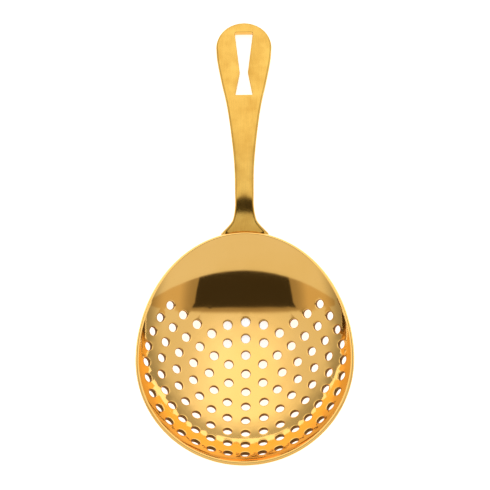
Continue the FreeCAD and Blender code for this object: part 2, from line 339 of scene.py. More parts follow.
def sheet_normal(bowl, x, y):
    """The sheet's upward normal at a place in plan."""
    step = SLOPE_STEP
    rise_x = sheet_height(bowl, x + step, y) - sheet_height(bowl, x - step, y)
    rise_y = sheet_height(bowl, x, y + step) - sheet_height(bowl, x, y - step)
    return Vector((-rise_x, -rise_y, 2 * step)).normalized()


def sheet_point(bowl, x, y, below=0.0):
    """A place on the sheet's middle, or a distance below it, square to the sheet."""
    normal = sheet_normal(bowl, x, y)
    return Vector((x, y, sheet_height(bowl, x, y))) - normal * below


def rim_distance(bowl, turn):
    """Plan distance from the middle to the rim, in a direction turned from the far side."""
    extra = bowl.far_extra if math.cos(turn) > 0 else bowl.handle_extra
    across = math.sin(turn) / bowl.half_width
    along = math.cos(turn) / (bowl.half_width + extra)
    return 1 / math.hypot(across, along)


def rim_corner(bowl):
    """Plan distance and height of the rim's outer corner on the handle's side."""
    y = bowl.half_width + bowl.handle_extra
    point = sheet_point(bowl, 0.0, y - 1e-7, bowl.sheet / 2)
    return point.y, point.z


# Lying on the table ---------------------------------------------------------------------------

def rest_matrix(bowl, handle):
    """Turns the strainer from the bowl's own frame to how it lies on the table."""
    turn = Matrix.Rotation(-bowl.rest_tilt, 4, "X")
    underside = [bowl.half_width * step / REST_STEPS for step in range(1, REST_STEPS)]
    lowest = min((turn @ sheet_point(bowl, 0.0, y, bowl.sheet / 2)).z for y in underside)
    line = handle_line(bowl)
    tip_middle = Vector((0.0, line["tip_y"] - handle.edge, line["tip_z"] - handle.edge))
    tip_reach = (turn @ tip_middle).y + handle.edge
    tip_in_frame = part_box("handle")[1].y
    return Matrix.Translation((0.0, tip_in_frame - tip_reach, -lowest)) @ turn


def finished(bm, name, node, slot, *materials):
    """Makes a bmesh into the object that stands for a CAD node, lying in its place."""
    settings = bpy.context.scene
    bmesh.ops.transform(bm, matrix=rest_matrix(settings.bowl, settings.handle), verts=bm.verts)
    for face in bm.faces:
        face.smooth = True
    mesh = bpy.data.meshes.new(name)
    bm.to_mesh(mesh)
    bm.free()
    for material in materials:
        mesh.materials.append(material)
    piece = bpy.data.objects.new(name, mesh)
    bpy.context.collection.objects.link(piece)
    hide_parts(node)
    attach(piece, "root")
    return piece


# Bowl -----------------------------------------------------------------------------------------

def plan_point(radius, turn):
    """A plan place at a distance from the middle, in a direction turned from the far side."""
    return Vector((radius * math.sin(turn), -radius * math.cos(turn), 0.0))


def once(items):
    """The items in the order in which they come, each only once."""
    return list(dict.fromkeys(items))


def round_template(bm):
    """A ring of three loops, at radius 1 for the hole, 2 for its guard and 3 for the cell's side."""
    count = 4 * CELL_SIDE
    loops = [bmesh.ops.create_circle(bm, segments=count, radius=size)["verts"] for size in (1, 2, 3)]
    edges = [[e for e in bm.edges if e.verts[0] in loop and e.verts[1] in loop] for loop in map(set, loops)]
    faces = []
    for inner, outer in zip(edges, edges[1:]):
        faces += bmesh.ops.bridge_loops(bm, edges=inner + outer)["faces"]
    return faces


def square_template(bm):
    """A plain square of faces, its sides divided as the round template's are."""
    verts = bmesh.ops.create_grid(bm, x_segments=CELL_SIDE, y_segments=CELL_SIDE, size=1)["verts"]
    for vert in verts:
        vert.co.x = math.tan(vert.co.x * math.pi / 4)
        vert.co.y = math.tan(vert.co.y * math.pi / 4)
    return once(face for vert in verts for face in vert.link_faces)


def stamp_cell(bm, template, place):
    """Copies a template and moves each of its points by a function."""
    edges = once(edge for face in template for edge in face.edges)
    verts = once(vert for face in template for vert in face.verts)
    copy = bmesh.ops.duplicate(bm, geom=[*verts, *edges, *template])["geom"]
    for item in copy:
        if isinstance(item, bmesh.types.BMVert):
            item.co = place(item.co.copy())


def punched_place(bowl, ring, turn, half_turn):
    """The function that moves the round template's points to the cell of one hole."""
    radius = RING_RADII[ring - 1]
    centre = plan_point(radius, turn)
    squeeze = sheet_normal(bowl, centre.x, centre.y).z
    outward = plan_point(1.0, turn)
    sideways = Vector((-outward.y, outward.x, 0.0))

    def place(co):
        loop = round(co.length)
        across, along = co.x / co.length, co.y / co.length
        if loop == 3:
            stretch = 1 / max(abs(across), abs(along))
            edge = radius + along * stretch * CELL_HALF_HEIGHT * BAND_SQUEEZE[ring - 1]
            return plan_point(edge, turn + across * stretch * half_turn)
        size = bowl.hole / 2 + (loop - 1) * HOLE_GUARD
        return centre + outward * (along * size * squeeze) + sideways * (across * size)

    return place


def plain_place(ring, turn, half_turn):
    """The function that moves the square template's points to a cell with no hole."""
    radius = RING_RADII[ring - 1]

    def place(co):
        edge = radius + co.y * CELL_HALF_HEIGHT * BAND_SQUEEZE[ring - 1]
        return plan_point(edge, turn + co.x * half_turn)

    return place


def stamp_rings(bm, bowl):
    """All the cells of all the rings, in plan."""
    round_cell = round_template(bm)
    square_cell = square_template(bm)
    for ring in range(1, len(RING_RADII) + 1):
        count = HOLES_PER_RING_STEP * ring
        half_turn = math.pi / count
        for index in range(count):
            turn = 2 * math.pi * index / count
            from_far = min(turn, 2 * math.pi - turn)
            if ring <= FULL_RINGS or from_far < OPEN_RING_HALF_ANGLE:
                stamp_cell(bm, round_cell, punched_place(bowl, ring, turn, half_turn))
            else:
                stamp_cell(bm, square_cell, plain_place(ring, turn, half_turn))
    templates = once(vert for face in round_cell + square_cell for vert in face.verts)
    bmesh.ops.delete(bm, geom=templates, context="VERTS")
    bmesh.ops.remove_doubles(bm, verts=bm.verts, dist=NEAR)


def loop_at(bm, radius):
    """The open edges that lie on a circle round the middle."""
    found = []
    for edge in bm.edges:
        if edge.is_boundary and all(abs(v.co.xy.length - radius) < 2 * NEAR for v in edge.verts):
            found.append(edge)
    return found


def centre_hole(bm, bowl):
    """Loops round the centre hole, with as many points as the first ring's inner side."""
    count = HOLES_PER_RING_STEP * CELL_SIDE
    first_band = RING_RADII[0] - CELL_HALF_HEIGHT * BAND_SQUEEZE[0]
    guard = bowl.hole / 2 + HOLE_GUARD
    previous = None
    for radius in (bowl.hole / 2, guard, (guard + first_band) / 2):
        verts = bmesh.ops.create_circle(bm, segments=count, radius=radius)["verts"]
        edges = once(edge for vert in verts for edge in vert.link_edges)
        if previous:
            bmesh.ops.bridge_loops(bm, edges=previous + edges)
        previous = edges
    bmesh.ops.bridge_loops(bm, edges=previous + loop_at(bm, first_band))


def join_rings(bm):
    """The strips between one ring's cells and the next ring's."""
    for ring in range(1, len(RING_RADII)):
        outer = RING_RADII[ring - 1] + CELL_HALF_HEIGHT * BAND_SQUEEZE[ring - 1]
        inner = RING_RADII[ring] - CELL_HALF_HEIGHT * BAND_SQUEEZE[ring]
        bmesh.ops.bridge_loops(bm, edges=loop_at(bm, outer) + loop_at(bm, inner))


def spread_to_rim(bm, bowl):
    """Rows of faces from the last ring's round outside to the egg-shaped rim."""
    start = RING_RADII[-1] + CELL_HALF_HEIGHT * BAND_SQUEEZE[-1]
    edges = loop_at(bm, start)
    for row in range(1, RIM_ROWS + 1):
        grown = bmesh.ops.extrude_edge_only(bm, edges=edges)["geom"]
        edges = [item for item in grown if isinstance(item, bmesh.types.BMEdge)]
        share = row / RIM_ROWS
        for vert in {vert for edge in edges for vert in edge.verts}:
            turn = math.atan2(vert.co.x, -vert.co.y)
            vert.co = plan_point(start + share * (rim_distance(bowl, turn) - start), turn)


def press_sheet(bm, bowl):
    """Lifts the flat plan onto the bowl's inside face, then gives it the sheet's thickness."""
    bmesh.ops.recalc_face_normals(bm, faces=bm.faces)
    if sum(face.normal.z for face in bm.faces) < 0:
        bmesh.ops.reverse_faces(bm, faces=bm.faces)
    normals = {}
    for vert in bm.verts:
        x, y = vert.co.x, vert.co.y
        normals[vert] = sheet_normal(bowl, x, y)
        vert.co.z = sheet_height(bowl, x, y)
    inside = list(bm.faces)
    for vert, normal in normals.items():
        vert.co += normal * bowl.sheet / 2
    ring = bmesh.ops.extrude_face_region(bm, geom=inside, use_keep_orig=True)["geom"]
    for item in ring:
        if isinstance(item, bmesh.types.BMVert):
            item.co -= nearest_normal(bowl, item.co) * bowl.sheet
    bmesh.ops.recalc_face_normals(bm, faces=bm.faces)


def nearest_normal(bowl, co):
    """The sheet's normal where its inside face passes through a point."""
    normal = sheet_normal(bowl, co.x, co.y)
    for _ in range(FOOT_STEPS):
        foot = co - normal * bowl.sheet / 2
        normal = sheet_normal(bowl, foot.x, foot.y)
    return normal


def is_rim_edge(bowl, edge):
    """Whether an edge is out at the rim."""
    middle = (edge.verts[0].co + edge.verts[1].co) / 2
    turn = math.atan2(middle.x, -middle.y)
    return middle.xy.length > rim_distance(bowl, turn) - bowl.sheet * 0.8


def round_edges(bm, bowl):
    """Rounds the rim and the lips of the holes."""
    sharp = [
        edge for edge in bm.edges
        if len(edge.link_faces) == 2 and edge.calc_face_angle() > SHARP
    ]
    rim = [edge for edge in sharp if is_rim_edge(bowl, edge)]
    lips = [edge for edge in sharp if not is_rim_edge(bowl, edge)]
    lip_set = set(lips)
    # Hole walls get the material with painted shade.
    for wall in {face for edge in lips for face in edge.link_faces}:
        if len(lip_set.intersection(wall.edges)) > 1:
            wall.material_index = PUNCHED
    for edges, size, turns in ((rim, bowl.rim, RIM_TURNS), (lips, bowl.lip, HOLE_LIP_TURNS)):
        bmesh.ops.bevel(
            bm, geom=edges, offset=size, offset_type="OFFSET", segments=turns,
            profile=0.5, affect="EDGES", material=-1,
        )


# Handle ---------------------------------------------------------------------------------------

def handle_line(bowl):
    """Places along the strip's upper face: seam, crest and tip."""
    seam_y, seam_z = rim_corner(bowl)
    crest_y = seam_y + ROOT_BEND_RADIUS * (math.sin(ROOT_SLOPE) - math.sin(CREST_SLOPE))
    crest_z = seam_z + ROOT_BEND_RADIUS * (math.cos(CREST_SLOPE) - math.cos(ROOT_SLOPE))
    tip_y = crest_y + ARCH_RADIUS * (math.sin(CREST_SLOPE) - math.sin(TIP_SLOPE))
    tip_z = crest_z + ARCH_RADIUS * (math.cos(TIP_SLOPE) - math.cos(CREST_SLOPE))
    return {
        "seam_y": seam_y, "seam_z": seam_z, "crest_y": crest_y, "crest_z": crest_z,
        "tip_y": tip_y, "tip_z": tip_z,
    }


def arc_height(y, start_y, start_z, start_slope, radius):
    """Height and slope on an arc that bends downwards from a start."""
    slope = math.asin(math.sin(start_slope) - (y - start_y) / radius)
    return start_z + radius * (math.cos(slope) - math.cos(start_slope)), slope


def strip_height(line, y):
    """Height and slope of the strip's upper face at a distance from the bowl's middle."""
    if y < line["seam_y"]:
        return line["seam_z"] + (y - line["seam_y"]) * math.tan(ROOT_SLOPE), ROOT_SLOPE
    if y < line["crest_y"]:
        return arc_height(y, line["seam_y"], line["seam_z"], ROOT_SLOPE, ROOT_BEND_RADIUS)
    return arc_height(y, line["crest_y"], line["crest_z"], CREST_SLOPE, ARCH_RADIUS)


def smooth_through(points, at):
    """A smooth curve through (value, place) points, read at a place."""
    last = len(points) - 1
    index = max(i for i in range(last) if points[i][1] <= at or i == 0)
    near = [points[min(max(index + step, 0), last)] for step in (-1, 0, 1, 2)]
    span = near[2][1] - near[1][1]
    share = (at - near[1][1]) / span
    before = (near[2][0] - near[0][0]) / (near[2][1] - near[0][1]) * span
    if near[3][1] > near[1][1]:
        after = (near[3][0] - near[1][0]) / (near[3][1] - near[1][1]) * span
    square, cube = share ** 2, share ** 3
    return (
        near[1][0] * (2 * cube - 3 * square + 1) + before * (cube - 2 * square + share)
        + near[2][0] * (3 * square - 2 * cube) + after * (cube - square)
    )


def side_points(line, handle):
    """The strip's half width, with the distances along it at which it holds."""
    head_y = line["tip_y"] - handle.head
    neck_y = line["seam_y"] + NECK_FROM_SEAM
    flare = [(half * MM, line["seam_y"] + away * MM) for half, away in ROOT_FLARE]
    widening = [(half * MM, neck_y + share * (head_y - neck_y)) for half, share in HEAD_SIDE]
    return flare + [(handle.neck, neck_y)] + widening + [(handle.head, head_y)]


def slot_half_width(line, handle, y):
    """Half width of the slot, or of the columns in line with it where there is no slot."""
    away = line["tip_y"] - y
    if away <= SLOT_WAIST[0]:
        share = (away - SLOT_TOP[0]) / (SLOT_WAIST[0] - SLOT_TOP[0])
        return SLOT_TOP[1] + share * (SLOT_WAIST[1] - SLOT_TOP[1])
    if away <= SLOT_FOOT[0]:
        share = (away - SLOT_WAIST[0]) / (SLOT_FOOT[0] - SLOT_WAIST[0])
        return SLOT_WAIST[1] + share * (SLOT_FOOT[1] - SLOT_WAIST[1])
    third = smooth_through(side_points(line, handle), y) / 3
    fade = min(1.0, (away - SLOT_FOOT[0]) / (10 * MM))
    return SLOT_FOOT[1] + (third - SLOT_FOOT[1]) * fade * fade * (3 - 2 * fade)


def half_row(inner, outer, guard):
    """Six points from the middle line to the edge of the strip, on one side."""
    inner, outer = Vector(inner), Vector(outer)
    before_edge = outer + (inner - outer).normalized() * guard
    return [
        Vector((0.0, inner.y)), Vector((inner.x / 2, inner.y)), inner,
        (inner + before_edge) / 2, before_edge, outer,
    ]


def cap_rows(half_width, depth, inner_rows, count):
    """Rows of half the strip's points, from a straight row to a round end.

    inner_rows gives the inner point of each row that is pinned; the rest run evenly on.
    Distances along the strip are from the straight row."""
    guard_turn = EDGE_GUARD / half_width
    rows = []
    for step in range(1, count + 1):
        turn = (CAP_CORNER - guard_turn) * step / count
        outer = Vector((half_width * math.cos(turn), depth * math.sin(turn)))
        before = Vector(((half_width - EDGE_GUARD) * math.cos(turn), (depth - EDGE_GUARD) * math.sin(turn)))
        rows.append([None, None, None, None, before, outer])
    step_turn = (math.pi / 2 - CAP_CORNER - guard_turn) / CAP_TURNS
    turns = [math.pi / 2 - step_turn * step for step in range(CAP_TURNS + 1)]
    inner_size = (half_width - EDGE_GUARD, depth - EDGE_GUARD)
    guard_row = [
        Vector((inner_size[0] * math.cos(turn), inner_size[1] * math.sin(turn)))
        for turn in turns[:CAP_TURNS]
    ]
    corner = Vector((inner_size[0] * math.cos(CAP_CORNER), inner_size[1] * math.sin(CAP_CORNER)))
    start = inner_rows[-1]
    pinned = len(inner_rows) - 1
    for step, row in enumerate(rows, start=1):
        if step <= pinned:
            inner = inner_rows[step]
            row[0:4] = [Vector((0, inner.y)), Vector((inner.x / 2, inner.y)), inner, (inner + row[4]) / 2]
            continue
        share = (step - pinned) / (count - pinned)
        if pinned:
            base = [Vector((0, start.y)), Vector((start.x / 2, start.y)), start]
            base.append((start + rows[pinned - 1][4]) / 2)
        else:
            base = start_row_points(start, half_width)
        row[0:4] = [one.lerp(two, share) for one, two in zip(base, guard_row)]
    rows[-1][4] = corner
    end_row = [Vector((half_width * math.cos(t), depth * math.sin(t))) for t in turns]
    rows.append(end_row + [Vector((half_width * math.cos(CAP_CORNER), depth * math.sin(CAP_CORNER)))])
    return rows


def start_row_points(inner, half_width):
    """The first four points of the straight row that a round end starts from."""
    return half_row(inner, (half_width, 0.0), EDGE_GUARD)[:4]


def spaced(start, end, spacing):
    """Places from start up to but not including end, about evenly spaced."""
    count = max(1, round((end - start) / spacing))
    return [start + (end - start) * step / count for step in range(count)]


def strip_rows(line, handle):
    """All rows of half the strip's points in plan, from the tongue's end to the tip."""
    sides = side_points(line, handle)
    root_y, head_y = sides[0][1], sides[-1][1]
    foot_y, waist_y = line["tip_y"] - SLOT_FOOT[0], line["tip_y"] - SLOT_WAIST[0]
    fine_end_y = line["seam_y"] + ROOT_FINE_LENGTH
    places = spaced(root_y, fine_end_y, ROW_SPACING / 2) + spaced(fine_end_y, foot_y, ROW_SPACING)
    places += spaced(foot_y, waist_y, ROW_SPACING) + spaced(waist_y, head_y, ROW_SPACING) + [head_y]
    middle = []
    for y in places:
        inner = (slot_half_width(line, handle, y), y)
        widening = smooth_through(sides, y + SLANT_STEP) - smooth_through(sides, y - SLANT_STEP)
        guard = EDGE_GUARD * math.hypot(1.0, widening / (2 * SLANT_STEP))
        middle.append(half_row(inner, (smooth_through(sides, y), y), guard))
    root_inner = Vector((middle[0][2].x, 0.0))
    tongue = cap_rows(sides[0][0], TONGUE_DEPTH, [root_inner], TONGUE_ROWS)
    for row in tongue:
        for point in row:
            point.y = root_y - point.y
    slot_end = line["tip_y"] - SLOT_TOP[0]
    pinned = []
    for step in range(SLOT_END_ROWS + 1):
        y = head_y + (slot_end - head_y) * step / SLOT_END_ROWS
        pinned.append(Vector((slot_half_width(line, handle, y), y - head_y)))
    tip = cap_rows(handle.head, handle.head, pinned, SLOT_END_ROWS + HEAD_END_ROWS)
    for row in tip:
        for point in row:
            point.y = head_y + point.y
    slot_rows = (len(tongue) + places.index(foot_y), len(tongue) + len(places) - 1 + SLOT_END_ROWS)
    return tongue[::-1] + middle + tip, slot_rows


def flat_strip(bm, line, handle):
    """The strip's blank, flat, with its slot cut and its thickness downwards."""
    rows, slot_rows = strip_rows(line, handle)
    last = len(rows) - 1
    bmesh.ops.create_grid(bm, x_segments=COLUMNS, y_segments=last, size=1)
    for vert in bm.verts:
        column = round((vert.co.x + 1) / 2 * COLUMNS) - COLUMNS // 2
        row = round((vert.co.y + 1) / 2 * last)
        point = rows[row][abs(column)]
        side = -1 if column < 0 else 1
        vert.co = Vector((side * point.x, point.y, 0.0))
        vert[bm.verts.layers.int["row"]] = row
        vert[bm.verts.layers.int["column"]] = column
    rows_of, columns_of = bm.verts.layers.int["row"], bm.verts.layers.int["column"]
    slot_faces = []
    for face in bm.faces:
        within = all(slot_rows[0] <= vert[rows_of] <= slot_rows[1] for vert in face.verts)
        if within and all(abs(vert[columns_of]) <= SLOT_COLUMNS for vert in face.verts):
            slot_faces.append(face)
    bmesh.ops.delete(bm, geom=slot_faces, context="FACES")
    bmesh.ops.recalc_face_normals(bm, faces=bm.faces)
    grown = bmesh.ops.extrude_face_region(bm, geom=list(bm.faces), use_keep_orig=True)["geom"]
    lower = [item for item in grown if isinstance(item, bmesh.types.BMVert)]
    bmesh.ops.translate(bm, verts=lower, vec=(0.0, 0.0, -handle.thickness))
    bmesh.ops.recalc_face_normals(bm, faces=bm.faces)


def round_strip(bm, line, handle):
    """Rounds the slot's upper corners, eases the slot's edges and rounds the strip's."""
    slot_top = line["tip_y"] - SLOT_TOP[0]
    corners = [
        edge for edge in bm.edges
        if abs(edge.verts[0].co.z - edge.verts[1].co.z) > handle.thickness / 2
        and abs(edge.verts[0].co.y - slot_top) < NEAR
        and abs(abs(edge.verts[0].co.x) - SLOT_TOP[1]) < NEAR
    ]
    bevel = {"offset_type": "OFFSET", "profile": 0.5, "affect": "EDGES", "material": -1}
    bmesh.ops.bevel(bm, geom=corners, offset=SLOT_CORNER, segments=SLOT_CORNER_TURNS, **bevel)
    sharp = [
        edge for edge in bm.edges
        if len(edge.link_faces) == 2 and edge.calc_face_angle() > SHARP
        and abs(edge.verts[0].co.z - edge.verts[1].co.z) < NEAR
    ]
    in_slot = [edge for edge in sharp if is_slot_edge(line, handle, edge)]
    outside = [edge for edge in sharp if edge not in set(in_slot)]
    bmesh.ops.bevel(bm, geom=in_slot, offset=SLOT_EASING, segments=SLOT_EASING_TURNS, **bevel)
    bmesh.ops.bevel(bm, geom=outside, offset=handle.edge, segments=EDGE_TURNS, **bevel)


def is_slot_edge(line, handle, edge):
    """Whether an edge bounds the slot and not the strip."""
    middle = (edge.verts[0].co + edge.verts[1].co) / 2
    away = line["tip_y"] - middle.y
    along = SLOT_TOP[0] - 10 * NEAR < away < SLOT_FOOT[0] + 10 * NEAR
    return along and abs(middle.x) < slot_half_width(line, handle, middle.y) + 20 * NEAR


def smooth_step(value):
    share = min(1.0, max(0.0, value))
    return share * share * (3 - 2 * share)


def neck_crown(line, handle, x, y):
    """How far the neck's upper face falls away from its middle line."""
    from_seam = y - line["seam_y"]
    rising = smooth_step((from_seam - CROWN_START) / CROWN_RISE)
    falling = 1 - smooth_step((from_seam - CROWN_END) / CROWN_FADE)
    on_sides = min(max(y, line["seam_y"]), line["tip_y"] - handle.head)
    share = min(1.0, abs(x) / smooth_through(side_points(line, handle), on_sides))
    return handle.crown * rising * falling * share ** 2


def bend_strip(bm, line, bowl, handle):
    """Bends the flat blank to the arch and lays its tongue against the bowl."""
    for vert in bm.verts:
        x, y, down = vert.co.x, vert.co.y, -vert.co.z
        height, slope = strip_height(line, y)
        share = down / handle.thickness
        down += neck_crown(line, handle, x, y) * (1 - share)
        on_strip = Vector((x, y + down * math.sin(slope), height - down * math.cos(slope)))
        behind = line["seam_y"] - y
        if behind > 0:
            thin = smooth_step(behind / (TONGUE_DEPTH + MM))
            thickness = handle.thickness + thin * (TONGUE_END_THICKNESS - handle.thickness)
            below = bowl.sheet / 2 + share * thickness - TONGUE_IN_SHEET
            plan_y = y - bowl.sheet / 2 * math.sin(ROOT_SLOPE)
            on_bowl = sheet_point(bowl, x, plan_y, below)
            vert.co = on_strip.lerp(on_bowl, smooth_step(behind / TONGUE_BLEND))
        else:
            vert.co = on_strip


# Weld -----------------------------------------------------------------------------------------

def bead_place(line, bowl, angle):
    """Place on the bowl's underside, along the tongue's outline."""
    half_width = ROOT_FLARE[0][0] * MM
    root_y = line["seam_y"] + ROOT_FLARE[0][1] * MM
    y = root_y - (TONGUE_DEPTH + BEAD_CLEARANCE[1]) * math.cos(angle)
    x = (half_width + BEAD_CLEARANCE[0]) * math.sin(angle)
    return sheet_point(bowl, x, y - bowl.sheet / 2 * math.sin(ROOT_SLOPE), bowl.sheet / 2)


def bead_loops(bm, line, bowl, radius):
    """Round sections of the bead, square to its path, with faint ripples along it."""
    loops = []
    for step in range(BEAD_STATIONS + 1):
        angle = BEAD_HALF_ANGLE * (2 * step / BEAD_STATIONS - 1)
        here = bead_place(line, bowl, angle)
        ahead = bead_place(line, bowl, angle + BEAD_LOOK_AHEAD)
        ripple = 1 + BEAD_RIPPLE * math.sin(2 * math.pi * BEAD_RIPPLES * step / BEAD_STATIONS)
        from_end = 1 - (abs(angle) / BEAD_HALF_ANGLE) ** BEAD_TAPER_POWER
        taper = math.sqrt(max(BEAD_LEAST_TAPER, from_end))
        turn = (ahead - here).to_track_quat("Z", "Y").to_matrix().to_4x4()
        matrix = Matrix.Translation(here) @ turn @ Matrix.Scale(radius * ripple * taper, 4)
        verts = bmesh.ops.create_circle(bm, segments=BEAD_SEGMENTS, radius=1, matrix=matrix)["verts"]
        loops.append(once(edge for vert in verts for edge in vert.link_edges))
    return loops


# Materials ------------------------------------------------------------------------------------

def noise(tree, place, scale, detail, **more):
    """A cloudy pattern's factor, from places in metres."""
    values = {"Scale": scale, "Detail": detail, **more}
    return add_node(tree, "ShaderNodeTexNoise", values=values, links={"Vector": place}).outputs["Fac"]


def own_place(tree, stretch=None):
    """Places in the object's own metres, stretched where a pattern has a grain."""
    place = add_node(tree, "ShaderNodeTexCoord").outputs["Object"]
    if stretch is None:
        return place
    return add_node(
        tree, "ShaderNodeMapping", values={"Scale": stretch}, links={"Vector": place},
    ).outputs["Vector"]


def plate(tree, tint, wear, wear_range, height, strength, distance):
    """A metal's surface: its tint, the roughness that wear gives it, and its fine relief."""
    low, high = wear_range
    roughness = add_node(
        tree, "ShaderNodeMapRange", values={"To Min": low, "To Max": high}, links={"Value": wear},
    )
    bump = add_node(
        tree, "ShaderNodeBump", values={"Strength": strength, "Distance": distance},
        links={"Height": height},
    )
    shader = add_node(
        tree, "ShaderNodeBsdfPrincipled", values={"Metallic": 1.0},
        links={
            "Base Color": tint, "Roughness": roughness.outputs["Result"],
            "Normal": bump.outputs["Normal"],
        },
    )
    add_node(tree, "ShaderNodeOutputMaterial", links={"Surface": shader.outputs["BSDF"]})


def mirror_gold(finish):
    """Polished gold plating on pressed steel.

    A metal with almost no roughness: it gives back the room sharply, tinted yellow. Pressing leaves the
    sheet very slightly wavy."""
    material, tree = new_material("gold_plate_mirror_polished")
    place = own_place(tree)
    cloud = noise(tree, place, 45.0, 3.0)
    wave = noise(tree, place, 110.0, 1.0)
    tint = two_tone(tree, cloud, list(finish.mirror), list(finish.mirror_deep))
    plate(tree, tint, cloud, (0.035, 0.085), wave, 0.05, 0.0003)
    return material


def punched_gold_painted_shade(finish):
    """Gold plating on the wall of a punched hole.

    The punch shears the steel, so the wall is torn and rough, with streaks along the way the punch went.
    Its dark brown beside the sheet's mirror faces is painted shade: it stands for the dark reflections in
    the holes' walls."""
    material, tree = new_material("gold_plate_punched_wall_painted_shade")
    streaks = noise(tree, own_place(tree, (3600.0, 3600.0, 700.0)), 1.0, 3.0)
    # Painted shade: the streaked wall's gold is darkened to dark brown.
    tint = two_tone(tree, streaks, list(finish.punched_painted_shade_deep), list(finish.punched))
    plate(tree, tint, streaks, (0.35, 0.6), streaks, 0.35, 0.00006)
    return material


def satin_gold(finish):
    """Gold plating over steel that was brushed along its length.

    The brush marks are real grooves under the plating, about a fifth of a millimetre apart:
    they spread the light across the strip, and show as faint darker lines along it."""
    material, tree = new_material("gold_plate_satin_brushed")
    grain = noise(tree, own_place(tree, (5200.0, 130.0, 1200.0)), 1.0, 4.0, Roughness=0.6)
    cloud = noise(tree, own_place(tree), 160.0, 3.0)
    blend = combine(tree, "ADD", combine(tree, "MULTIPLY", grain, 0.45), cloud)
    half = combine(tree, "MULTIPLY", blend, 0.69)
    tint = two_tone(tree, half, list(finish.satin_deep), list(finish.satin))
    plate(tree, tint, cloud, (0.10, 0.19), grain, 0.40, 0.00006)
    return material


def weld_gold(finish):
    """Gold plating over a weld bead that was only lightly polished, so it stays grainy."""
    material, tree = new_material("gold_plate_over_weld")
    grain = noise(tree, own_place(tree), 1400.0, 4.0)
    tint = two_tone(tree, grain, list(finish.weld_deep), list(finish.weld))
    plate(tree, tint, grain, (0.25, 0.45), grain, 0.4, 0.0001)
    return material


def table_white(stage):
    """White opal acrylic with a matt top, lit from below so that shadows stay faint."""
    material, tree = new_material("opal_acrylic_matt")
    cloud = noise(tree, own_place(tree), 6.0, 2.0)
    tint = two_tone(tree, cloud, list(stage.floor), linear_colour(TABLE_CLOUD))
    shader = add_node(
        tree, "ShaderNodeBsdfPrincipled",
        values={"Roughness": 0.7, "IOR": 1.49, "Emission Strength": TABLE_GLOW},
        links={"Base Color": tint, "Emission Color": tint},
    )
    add_node(tree, "ShaderNodeOutputMaterial", links={"Surface": shader.outputs["BSDF"]})
    return material


# Stage ----------------------------------------------------------------------------------------

def camera_axes():
    """The camera's right, up and back directions, in the frame."""
    back = Vector((math.sin(CAMERA_SIDE), math.sin(CAMERA_LEAN), math.cos(CAMERA_LEAN))).normalized()
    right = Vector((0.0, 1.0, 0.0)).cross(back).normalized()
    up = back.cross(right)
    turned_right = right * math.cos(CAMERA_ROLL) + up * math.sin(CAMERA_ROLL)
    return turned_right, back.cross(turned_right), back


def add_camera():
    """A long lens, above the strainer and a little towards the far side of its bowl."""
    settings = bpy.context.scene
    pole = rest_matrix(settings.bowl, settings.handle) @ Vector((0.0, 0.0, 0.0))
    right, up, back = camera_axes()
    aim = pole + up * AIM_UP - right * AIM_LEFT
    data = bpy.data.cameras.new("camera")
    data.sensor_width = SENSOR_WIDTH
    data.lens = SENSOR_WIDTH * LENS_TO_SENSOR
    data.dof.use_dof = False
    data.clip_end = CAMERA_END
    camera = bpy.data.objects.new("camera", data)
    bpy.context.collection.objects.link(camera)
    axes = Matrix((right, up, back)).transposed().to_4x4()
    camera.matrix_world = Matrix.Translation(aim + back * CAMERA_DISTANCE) @ axes
    bpy.context.scene.camera = camera


def add_floor(material):
    bm = bmesh.new()
    bmesh.ops.create_grid(bm, x_segments=TABLE_SQUARES, y_segments=TABLE_SQUARES, size=TABLE_HALF_SIDE)
    mesh = bpy.data.meshes.new("table")
    bm.to_mesh(mesh)
    bm.free()
    mesh.materials.append(material)
    floor = bpy.data.objects.new("table", mesh)
    bpy.context.collection.objects.link(floor)


